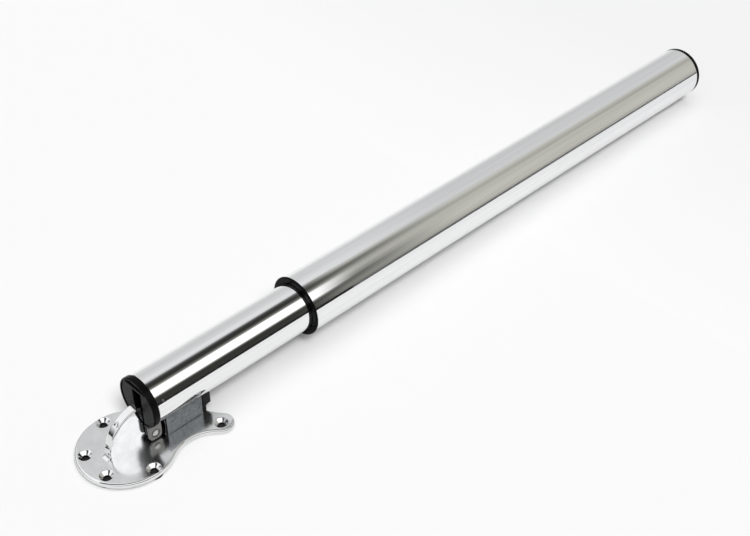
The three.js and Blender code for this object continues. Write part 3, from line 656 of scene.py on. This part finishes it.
def fin_field(p):
    """The upright fin: a slice of a disc, with a foot at each end and the dimple in its edge."""
    x, y, z = p
    profile = joined(np.hypot(x - FIN_X, z - FIN_Z) - FIN_RADIUS, z - PLATE_TOP, FIN_FOOT)
    profile = common(profile, between(x, FIN_X - FIN_RADIUS - FIN_FOOT, FIN_X + FIN_RADIUS + FIN_FOOT))
    profile = common(profile, FIN_BOTTOM - z)
    fin = common(profile, np.abs(y) - FIN_HALF, FIN_EDGE)
    ball = np.sqrt((x - DIMPLE[0]) ** 2 + y ** 2 + (z - DIMPLE[1]) ** 2) - DIMPLE_RADIUS
    return less(fin, ball, 0.3)


def cradle_field(p):
    """Two walls and a low bridge between them, seated for the folded tube."""
    x, y, z = p
    end = SEAT_X - GAP
    wall_low, wall_high = (WALL_START, WALL_IN, CRADLE_BOTTOM), (end, WALL_OUT, CRADLE_TOP)
    wall = cuboid((x, np.abs(y), z), wall_low, wall_high, WALL_EDGE)
    reach = WALL_IN + 2
    bridge = cuboid(p, (BRIDGE_START, -reach, CRADLE_BOTTOM), (end, reach, BRIDGE_TOP), BRIDGE_EDGE)
    walls = joined(wall, bridge)
    walls = less(walls, tube_about_leg(p, INNER_RADIUS + GAP), SEAT_EDGE)
    return less(walls, np.hypot(y, z - STEM_Z) - STEM_RADIUS - GAP, 0.2)


def hole_field(p, place):
    """One countersunk hole."""
    x, y, z = p
    radius = np.hypot(x - place[0], y - place[1])
    rise, run = COUNTERSINK_DEPTH, COUNTERSINK_RADIUS - SCREW_RADIUS
    cone = ((radius - COUNTERSINK_RADIUS) * rise - (z - PLATE_TOP) * run) / math.hypot(rise, run)
    return joined(radius - SCREW_RADIUS, np.maximum(cone, radius - COUNTERSINK_RADIUS - 0.4), 0.2)


def plate_field(p):
    body = joined(blank_field(p), fin_field(p))
    body = joined(body, cradle_field(p), CRADLE_ROOT)
    for place in SCREWS:
        body = less(body, hole_field(p, place), HOLE_EDGE)
    eye = bar_along_y(p, PIVOT_X, PIVOT_Z, PIN_RADIUS + BUSH_WALL + 2 * GAP)
    return less(body, common(eye, np.abs(p[1]) - EYE_CUT_HALF), 0.3)


def mounting_plate():
    low, high = node_box("mounting_plate")
    return cast("hinge_plate", plate_field, low, high, 0.6, CAST_CHROME)


def bumper_field(p):
    """A block with a lip over its neck, held by a barbed stem through the bridge."""
    x, y, z = p
    lip = cuboid(p, (SEAT_X, -WALL_OUT, LIP_Z), (BUMPER_END, WALL_OUT, CRADLE_TOP + 3), LIP_EDGE)
    neck = cuboid(p, (SEAT_X, -WALL_OUT, PLATE_TOP + GAP), (NECK_X, WALL_OUT, LIP_Z + 3), NECK_EDGE)
    solid = joined(lip, neck, LIP_FILLET)
    around = np.hypot(y, z - STEM_Z)
    stem = common(around - STEM_RADIUS, between(x, BRIDGE_START - 4, SEAT_X + 2), 0.3)
    barb_end = BRIDGE_START - GAP
    barb = around - BARB_RADIUS + np.maximum(barb_end - x, 0) * BARB_TAPER
    barb = common(barb / math.hypot(1, BARB_TAPER), between(x, BRIDGE_START - BARB_LENGTH, barb_end), 0.3)
    solid = joined(joined(solid, stem), barb, 0.2)
    return less(solid, tube_about_leg(p, INNER_RADIUS + GAP), SEAT_EDGE)


def cradle_bumper():
    low, high = node_box("cradle_bumper")
    return cast("cradle_buffer", bumper_field, low, high, 0.45, RUBBER)


def pivot_bush():
    bore, outer = PIN_RADIUS + GAP, PIN_RADIUS + GAP + BUSH_WALL
    ends = (-FIN_HALF, FIN_HALF)
    corners = [(ends[0], bore), (ends[0], outer, 0.3), (ends[1], outer, 0.3), (ends[1], bore)]
    return turned("pin_bush", corners, BRASS, SMALL_ROUND, place=ACROSS)


# ---------------------------------------------------------------- hinge end of the leg


def in_leg(p):
    """The same points measured from the pivot."""
    return p[0] - PIVOT_X, p[1], p[2] - PIVOT_Z


def fork_field(p):
    """Two ears with rounded lobes round the pin, arms back along the leg and a web between them."""
    x, y, z = in_leg(p)
    y = np.abs(y)
    lobe = common(between(x, -LOBE_HALF, LOBE_HALF), -z - LOBE_DROP, LOBE_CORNER)
    lobe = common(lobe, z - LOBE_TOP, 0.8)
    arm_low, arm_high = AXIS_RISE - ARM_BELOW, AXIS_RISE + ARM_ABOVE
    riser = common(between(x, ARM_START, LOBE_HALF), between(z, 0, arm_high), 0.8)
    arm = common(between(x, ARM_START, WEB_X + WEB_THICKNESS), between(z, arm_low, arm_high), 0.8)
    side = joined(joined(lobe, riser, 0.5), arm, 0.6)
    ear = common(side, between(y, EAR_IN, EAR_OUT), 0.35)
    web = cuboid((x, y, z), (WEB_X, -EAR_OUT, arm_low), (WEB_X + WEB_THICKNESS, EAR_OUT, arm_high), 0.4)
    fork = joined(ear, web, 1.0)
    fork = less(fork, np.hypot(y, z - AXIS_RISE) - 5.5, 0.2)
    radius = np.hypot(x, z)
    fork = less(fork, common(radius - PIN_RADIUS - GAP, y - EAR_OUT - 2), 0.15)
    recess = common(radius - PIN_RECESS_RADIUS, between(y, EAR_OUT - PIN_RECESS_DEPTH, EAR_OUT + 4))
    return less(fork, recess, 0.2)


def hinge_fork():
    low, high = node_box("hinge_fork")
    return cast("hinge_fork_shown", fork_field, low, high, 0.45, SATIN_STEEL)


def plug_field(p):
    """A flange and spigot with cheeks round the pin, slotted for the fin and the fork's arms."""
    x, y, z = in_leg(p)
    side = np.abs(y)
    face = -FLANGE_THICKNESS
    around = np.hypot(y, z - AXIS_RISE)
    up = z - AXIS_RISE
    flange = common(around - FLANGE_RADIUS, between(x, face, -GAP), 1.3)
    spigot = common(around - (INNER_RADIUS - WALL - GAP), between(x, -1.5, SPIGOT_LENGTH), 0.5)
    riser = common(np.abs(x) - CHEEK_HALF, between(z, 0, AXIS_RISE / 2))
    cheek = joined(np.hypot(x, z) - CHEEK_HALF, riser)
    cheek = common(cheek, side - (EAR_IN - GAP), 0.6)
    plug = joined(joined(flange, spigot), cheek, 0.5)
    plug = less(plug, common(side - SLOT_HALF, up - SLOT_TOP, 0.5), 0.35)
    arm = common(ARM_START - GAP - x, up - ARM_ABOVE - GAP)
    arm = joined(arm, z - LOBE_TOP - GAP)
    arm = common(arm, between(side, EAR_IN - GAP, EAR_OUT + GAP))
    plug = less(plug, arm, 0.25)
    rib_top = SLOT_TOP + RIB_HEIGHT
    sunk = common(around - FACE_RADIUS, x - face - FACE_SINK, 0.2)
    sunk = less(sunk, between(up, SLOT_TOP, rib_top), 0.3)
    plug = less(plug, sunk, 0.3)
    groove = common(between(up, rib_top + 0.4, rib_top + 0.4 + GROOVE_HEIGHT), side - GROOVE_HALF, 0.4)
    groove = common(groove, x - face - FACE_SINK - 1, 0.2)
    plug = less(plug, groove, 0.25)
    plug = less(plug, np.hypot(x, z) - PIN_RADIUS - GAP, 0.2)
    tilt = math.radians(RIVET_ANGLE)
    off_axis = np.hypot(x - RIVET_X, up * math.cos(tilt) - side * math.sin(tilt))
    outward = up * math.sin(tilt) + side * math.cos(tilt)
    rivet = common(off_axis - RIVET_RADIUS - GAP, INNER_RADIUS - 6 - GAP - outward)
    return less(plug, rivet)


def end_plug():
    low, high = node_box("end_plug")
    return cast("plug_moulding", plug_field, low, high, 0.4, BLACK_PLASTIC)


def pivot_pin():
    seat, crown = EAR_OUT - PIN_RECESS_DEPTH + GAP, EAR_OUT + 0.8
    half = [(seat, PIN_RADIUS), (seat, PIN_HEAD_RADIUS, 0.15), (EAR_OUT + 0.1, PIN_HEAD_RADIUS, 0.3),
            (crown - 0.2, PIN_HEAD_RADIUS * 0.6, 1.2), (crown, 0)]
    corners = [(-x, *rest) for x, *rest in half[::-1]] + half
    return turned("hinge_pin", corners, PIN_STEEL, SMALL_ROUND, ring=False, place=ACROSS)


def rivet_place(side):
    """Turns +X outward through the tube's wall at the rivet."""
    tilt = math.radians(RIVET_ANGLE)
    outward = Vector((0, side * math.cos(tilt), math.sin(tilt)))
    turn = Vector((1, 0, 0)).rotation_difference(outward).to_matrix().to_4x4()
    return Matrix.Translation((PIVOT_X + RIVET_X, 0, AXIS_Z)) @ turn


def rivet_corners(grow=0.0):
    radius, crown = RIVET_RADIUS + grow, INNER_RADIUS + 0.7 + grow
    return [(INNER_RADIUS - 6 - grow, 0), (INNER_RADIUS - 6 - grow, radius, 0.1),
            (INNER_RADIUS + 0.3 + grow, radius, 0.4), (crown, radius * 0.4, 0.3), (crown, 0)]


def plug_rivet(name, side):
    return turned(name, rivet_corners(), SATIN_STEEL, RIVET_ROUND, ring=False, place=rivet_place(side))


def inner_tube():
    """Drawn tube, slotted underneath for the fin and notched at its end for the fork's ears."""
    start, end = INNER_START - PIVOT_X, INNER_END - PIVOT_X
    bore = INNER_RADIUS - WALL
    tube = turned("sliding_tube", [(start, bore, 0.2), (start, INNER_RADIUS, 0.4),
                                   (end, INNER_RADIUS, 0.4), (end, bore, 0.2)], TUBE_CHROME)
    bottom, inside = AXIS_Z - INNER_RADIUS - 2, AXIS_Z - 15
    slot = SLOT_HALF + GAP
    past = INNER_RADIUS + 15
    pin_place = Matrix.Translation((PIVOT_X + LOCK_PIN_X, 0, AXIS_Z)) @ Matrix.Rotation(math.pi / 2, 4, "Z")
    pin = turned("cutter", [(-past, 0), (-past, LOCK_PIN_BORE), (past, LOCK_PIN_BORE), (past, 0)],
                 None, RIVET_ROUND, ring=False, place=pin_place)
    rivets = [turned("cutter", rivet_corners(GAP), None, RIVET_ROUND, ring=False, place=rivet_place(side))
              for side in (1, -1)]
    return cut(tube,
               block((INNER_START - 3, -slot, bottom), (INNER_START + SLOT_LENGTH, slot, inside)),
               block((INNER_START - 2, -NOTCH_HALF, bottom + 1),
                     (INNER_START + LOBE_HALF + 1, NOTCH_HALF, inside + 1)),
               pin, *rivets)


def detent_spring():
    """Wire wound round the plunger."""
    low, high = node_box("detent_spring")
    start, end = low[0] + SPRING_WIRE, high[0] - SPRING_WIRE
    steps, sides = SPRING_TURNS * 40, 12
    points, faces = [], []
    for i in range(steps + 1):
        t = i / steps
        angle = 2 * math.pi * SPRING_TURNS * t
        out = np.array([0, math.cos(angle), math.sin(angle)])
        centre = np.array([start + (end - start) * t, 0, AXIS_Z]) + out * SPRING_MEAN
        for k in range(sides):
            a = 2 * math.pi * k / sides
            points.append(centre + SPRING_WIRE * (math.cos(a) * out + math.sin(a) * np.array([1, 0, 0])))
    for i in range(steps):
        for k in range(sides):
            n = (k + 1) % sides
            a, b = i * sides, (i + 1) * sides
            faces.append([a + k, a + n, b + n, b + k])
    faces.append(list(range(sides))[::-1])
    faces.append([steps * sides + k for k in range(sides)])
    if signed_volume([Vector(p) for p in points], faces) < 0:
        faces = [face[::-1] for face in faces]
    return add_mesh("coil_spring", points, faces, PIN_STEEL)


# ---------------------------------------------------------------- outer leg

RIM_START = node_box("guide_collar")[0][0] - PIVOT_X
RIM_END = RIM_START + 1.8
COLLAR_RADIUS = 31.4
COLLAR_NOSE = 1.2
SLEEVE_END = RIM_END + 38.0
PAD_RADIUS = 24.0
PAD_THICKNESS = 3.5
TREAD_RINGS = (18, 12, 6)
TREAD_DEPTH = 0.6
FOOT_FACE = node_box("foot_pad")[1][0] - PIVOT_X
FOOT_SPIGOT = 22.0
CUP_FLOOR, CUP_WALL = 2.0, 3.0


def guide_collar():
    bore, sleeve = INNER_RADIUS + GAP, OUTER_RADIUS - WALL - GAP
    corners = [(RIM_START, bore, 0.8), (RIM_START, COLLAR_RADIUS, COLLAR_NOSE), (RIM_END, COLLAR_RADIUS, 0.3),
               (RIM_END, sleeve), (SLEEVE_END, sleeve, 0.5), (SLEEVE_END, bore, 0.5)]
    return turned("collar_moulding", corners, BLACK_PLASTIC)


def outer_tube():
    start, end = OUTER_START - PIVOT_X, OUTER_END - PIVOT_X
    bore = OUTER_RADIUS - WALL
    return turned("fixed_tube", [(start, bore, 0.2), (start, OUTER_RADIUS, 0.4),
                                 (end, OUTER_RADIUS, 0.4), (end, bore, 0.2)], TUBE_CHROME)


def foot_cap():
    spigot = OUTER_RADIUS - WALL - GAP
    start = OUTER_END - PIVOT_X + GAP
    face = FOOT_FACE - 0.5
    floor = FOOT_FACE - PAD_THICKNESS - GAP
    end = start - FOOT_SPIGOT
    cup, bore, seat = start - CUP_FLOOR, spigot - CUP_WALL, PAD_RADIUS + GAP
    corners = [(cup, 0), (cup, bore, 1), (end, bore, 0.4), (end, spigot - 1.2, 0.3), (end + 2, spigot, 0.5),
               (start, spigot), (start, OUTER_RADIUS, 0.2),
               (face, OUTER_RADIUS, 0.6), (face, seat, 0.4), (floor, seat), (floor, 0)]
    return turned("foot_cap_moulding", corners, BLACK_PLASTIC, ring=False)


def foot_pad():
    back = FOOT_FACE - PAD_THICKNESS
    corners = [(back, 0), (back, PAD_RADIUS, 0.3), (FOOT_FACE, PAD_RADIUS, 0.6)]
    groove = FOOT_FACE - TREAD_DEPTH
    for radius in TREAD_RINGS:
        corners += [(FOOT_FACE, radius + 0.8, 0.15), (groove, radius + 0.4, 0.1),
                    (groove, radius - 0.4, 0.1), (FOOT_FACE, radius - 0.8, 0.15)]
    corners.append((FOOT_FACE, 0))
    return turned("foot_pad_rubber", corners, RUBBER, ring=False)


# ---------------------------------------------------------------- putting the pieces on their bodies

SHOWN = [
    # piece, CAD node it stands for, body, slot
    (mounting_plate(), "mounting_plate", "mount_base", "cast_chrome"),
    (pivot_bush(), "pivot_bush", "mount_base", "brass"),
    (cradle_bumper(), "cradle_bumper", "mount_base", "rubber"),
    (hinge_fork(), "hinge_fork", "inner_leg", "satin_steel"),
    (pivot_pin(), "pivot_pin", "inner_leg", "pin_steel"),
    (end_plug(), "end_plug", "inner_leg", "black_plastic"),
    (plug_rivet("rivet_near", -1), "plug_rivet_near", "inner_leg", "satin_steel"),
    (plug_rivet("rivet_far", 1), "plug_rivet_far", "inner_leg", "satin_steel"),
    (inner_tube(), "inner_tube", "inner_leg", "tube_chrome"),
    (detent_spring(), "detent_spring", "inner_leg", "pin_steel"),
    (guide_collar(), "guide_collar", "outer_leg", "black_plastic"),
    (outer_tube(), "outer_tube", "outer_leg", "tube_chrome"),
    (foot_cap(), "foot_cap", "outer_leg", "black_plastic"),
    (foot_pad(), "foot_pad", "outer_leg", "rubber"),
]
for piece, node, body, slot in SHOWN:
    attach(piece, body)
    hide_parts(node)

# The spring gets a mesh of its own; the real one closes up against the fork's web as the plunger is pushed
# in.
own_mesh(bpy.data.objects["coil_spring"])

KEPT = {
    "detent_plunger": (SATIN_STEEL, "satin_steel"),
    "plunger_clip": (SATIN_STEEL, "satin_steel"),
    "plunger_bush": (NYLON, "nylon"),
    "lock_plug": (NYLON, "nylon"),
    "lock_plug_pin": (SATIN_STEEL, "satin_steel"),
    "lock_stud": (SATIN_STEEL, "satin_steel"),
    "stud_nut": (SATIN_STEEL, "satin_steel"),
    "inner_guide_sleeve": (NYLON, "nylon"),
    "lock_expander": (NYLON, "nylon"),
    "lock_cone": (BRASS, "brass"),
}
for node, (material, slot) in KEPT.items():
    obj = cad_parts[node]
    obj.data.materials.clear()
    obj.data.materials.append(material)

# ---------------------------------------------------------------- studio

FLOOR_SIZE = 30.0
HOLE_SHADE = (0.02, 0.02, 0.02)  # the floor under the screw holes, out of the light
# The plate rests on its ears' edge and the leg's heavy end nearly on the floor, so the floor tips a little.
FLOOR_TIP = 0.0164
FLOOR_EDGE_X = 0.091
BACKDROP = (0.93, 0.935, 0.94)
AMBIENT = (0.3, 0.3, 0.3)

# The light round the object, by angle from +Y over the top to -Y: (degrees, brightness).
COOL, WARM = (1.0, 1.0, 1.005), (1.02, 1.01, 0.92)
# Seen from beside the leg: a pale wall, a dark gap overhead, a long softbox and a dark side.
SIDE_BANDS = [(0, 0.80), (20, 0.70), (35, 0.69), (50, 0.75), (70, 0.88), (77, 0.78), (84, 0.12),
              (92, 0.035), (102, 0.04), (109, 0.12), (114, 0.4), (119, 1.6), (145, 1.6), (151, 0.25),
              (156, 0.04), (180, 0.04)]
# Behind the camera's left shoulder: a bright wall over a dark skirting.
BACK_BANDS = [(0, 0.03), (8, 0.06), (20, 0.5), (32, 1.1), (74, 1.2), (84, 0.12)] + SIDE_BANDS[7:]
# Past the softbox's end.
MIDDLE_BANDS = [(0, 0.80), (20, 0.71), (50, 0.75), (78, 0.86), (90, 0.44), (99, 0.14), (110, 0.26),
                (121, 0.44), (130, 0.42), (140, 0.26), (150, 0.13), (160, 0.17), (170, 0.26), (180, 0.2)]
# Along the leg, where the room is even.
END_BANDS = [(0, 0.76), (25, 0.64), (60, 0.68), (84, 0.70), (97, 0.56), (108, 0.42), (118, 0.54),
             (150, 0.58), (165, 0.56), (174, 0.46), (180, 0.36)]


def world_ramp(tree, angle, bands):
    """The bands as a colour ramp, cool on the +Y side and warm from overhead to -Y."""
    ramp = tree.nodes.new("ShaderNodeValToRGB")
    elements = ramp.color_ramp.elements
    while len(elements) > 1:
        elements.remove(elements[-1])
    for i, (degrees, light) in enumerate(bands):
        element = elements[0] if i == 0 else elements.new(degrees / 180)
        element.position = degrees / 180
        tint = COOL if degrees < 85 or light > 1 else WARM
        element.color = (*(light * c for c in tint), 1)
    tree.links.new(angle, ramp.inputs["Fac"])
    return ramp.outputs["Color"]


def world_share(tree, value, start, end):
    """0 up to start, and 1 from end on."""
    made = tree.nodes.new("ShaderNodeMapRange")
    made.interpolation_type = "SMOOTHSTEP"
    made.inputs["From Min"].default_value = start
    made.inputs["From Max"].default_value = end
    tree.links.new(value, made.inputs["Value"])
    return made.outputs["Result"]


def world_mix(tree, share, a, b):
    made = tree.nodes.new("ShaderNodeMix")
    made.data_type = "RGBA"
    for socket, value in zip((made.inputs[0], made.inputs[6], made.inputs[7]), (share, a, b)):
        if isinstance(value, tuple):
            socket.default_value = value
        else:
            tree.links.new(value, socket)
    return made.outputs[2]


def world_math(tree, kind, a, b):
    made = tree.nodes.new("ShaderNodeMath")
    made.operation = kind
    for socket, value in zip(made.inputs, (a, b)):
        if isinstance(value, float):
            socket.default_value = value
        else:
            tree.links.new(value, socket)
    return made.outputs[0]


def studio_world():
    """The bands for the bright pieces to mirror, even light for the dull ones and a plain backdrop."""
    world = bpy.data.worlds.new("studio")
    bpy.context.scene.world = world
    world.use_nodes = True
    tree = world.node_tree
    parts = tree.nodes.new("ShaderNodeSeparateXYZ")
    tree.links.new(tree.nodes.new("ShaderNodeTexCoord").outputs["Generated"], parts.inputs["Vector"])
    x, y, z = parts.outputs
    turn = world_math(tree, "ARCTAN2", z, y)
    turn = world_math(tree, "DIVIDE", turn, math.pi)
    kinds = (BACK_BANDS, SIDE_BANDS, MIDDLE_BANDS, END_BANDS)
    back, side, middle, end = (world_ramp(tree, turn, bands) for bands in kinds)
    room = world_mix(tree, world_share(tree, x, 0.08, 0.28), back, side)
    room = world_mix(tree, world_share(tree, x, 0.49, 0.54), room, middle)
    room = world_mix(tree, world_share(tree, x, 0.53, 0.63), room, end)
    above = world_math(tree, "GREATER_THAN", z, 0.0)
    path = tree.nodes.new("ShaderNodeLightPath")
    shown = world_math(tree, "SUBTRACT", above, path.outputs["Is Camera Ray"])
    light = world_mix(tree, shown, (*BACKDROP, 1), room)
    light = world_mix(tree, path.outputs["Is Diffuse Ray"], light, (*AMBIENT, 1))
    tree.links.new(light, tree.nodes["Background"].inputs["Color"])


def floor():
    """Pale paper, tipped to meet the plate and the leg's far end, with painted shade: darker towards the far
    end and near black under the screw holes.
    """
    half = FLOOR_SIZE / 2 / MM
    low, high = ((x - FLOOR_EDGE_X / MM) * FLOOR_TIP for x in (-half, half))
    corners = [(-half, -half, low), (half, -half, high), (half, half, high), (-half, half, low)]
    s = Surface("floor_paper", 0.9)
    # Painted shade: the paper is coloured darker from 0.5 m to 0.95 m along X, towards the leg's far end.
    tone = s.ranged(s.along("X"), 0.3, 0.7, 0.5, 0.95)
    tone = s.mix(s.near_screws(COUNTERSINK_RADIUS + 1.5), tone, 0.0)
    s.colour(tone, (0.685, 0.685, 0.685), (0.64, 0.64, 0.643), [(0.0, HOLE_SHADE), (0.2, HOLE_SHADE)])
    s.shader.inputs["Specular IOR Level"].default_value = 0.1
    obj = add_mesh("floor", corners, [(0, 1, 2, 3)], s.made)


def soft_sun(name, toward, width, strength):
    """Even light on the floor and the dull pieces. The bright ones mirror only the bands above."""
    light = bpy.data.lights.new(name, "SUN")
    light.angle = math.radians(width)
    light.energy = strength
    obj = bpy.data.objects.new(name, light)
    bpy.context.scene.collection.objects.link(obj)
    obj.rotation_mode = "QUATERNION"
    obj.rotation_quaternion = Vector(toward).to_track_quat("Z", "Y")
    obj.visible_glossy = False
    obj.visible_camera = False


FLAG_Y = -380.0
FLAG_UP = (-5.0, 62.0)
FLAG_START, FLAG_SPLIT, FLAG_END = -600, 480, 2400


def flag(name, across, tone):
    """An upright dark card on the -Y side, seen only in the bright pieces: it darkens their horizon."""
    (x0, x1), (z0, z1) = across, FLAG_UP
    corners = [(x0, FLAG_Y, z0), (x1, FLAG_Y, z0), (x1, FLAG_Y, z1), (x0, FLAG_Y, z1)]
    s = Surface(name, 0.9)
    s.colour(s.noise(5), (tone * 0.9,) * 3, (tone * 1.1,) * 3)
    s.shader.inputs["Specular IOR Level"].default_value = 0.0
    obj = add_mesh(name, corners, [(0, 1, 2, 3)], s.made)
    obj.visible_camera = obj.visible_diffuse = obj.visible_shadow = False


studio_world()
floor()
flag("flag_near", (FLAG_START, FLAG_SPLIT), 0.03)
flag("flag_far", (FLAG_SPLIT, FLAG_END), 0.2)
soft_sun("key", (-0.2, -0.57, 0.82), 18, 2.55)
soft_sun("overhead", (0, -0.09, 1), 60, 1.42)

# ---------------------------------------------------------------- camera

CAMERA_PLACE = Vector((-0.3721, -0.6812, 0.8160))
HEADING = math.radians(44.77)
LOOK_DOWN = math.radians(39.0)
ROLL = math.radians(0.605)
LENS = 58.2  # on a 36 mm sensor


def camera():
    """The photo's viewpoint, worked out from its perspective."""
    level = Vector((math.cos(HEADING), math.sin(HEADING), 0))
    forward = level * math.cos(LOOK_DOWN) - Vector((0, 0, 1)) * math.sin(LOOK_DOWN)
    right = level.cross(Vector((0, 0, 1)))
    up = right.cross(forward)
    across = right * math.cos(ROLL) + up * math.sin(ROLL)
    upward = up * math.cos(ROLL) - right * math.sin(ROLL)
    data = bpy.data.cameras.new("camera")
    data.sensor_width = 36
    data.lens = LENS
    data.clip_start, data.clip_end = 0.01, 100
    obj = bpy.data.objects.new("camera", data)
    bpy.context.scene.collection.objects.link(obj)
    turn = Matrix((across, upward, -forward)).transposed()
    obj.matrix_world = Matrix.Translation(CAMERA_PLACE) @ turn.to_4x4()
    bpy.context.scene.camera = obj


camera()
bpy.context.scene.view_settings.view_transform = "Standard"
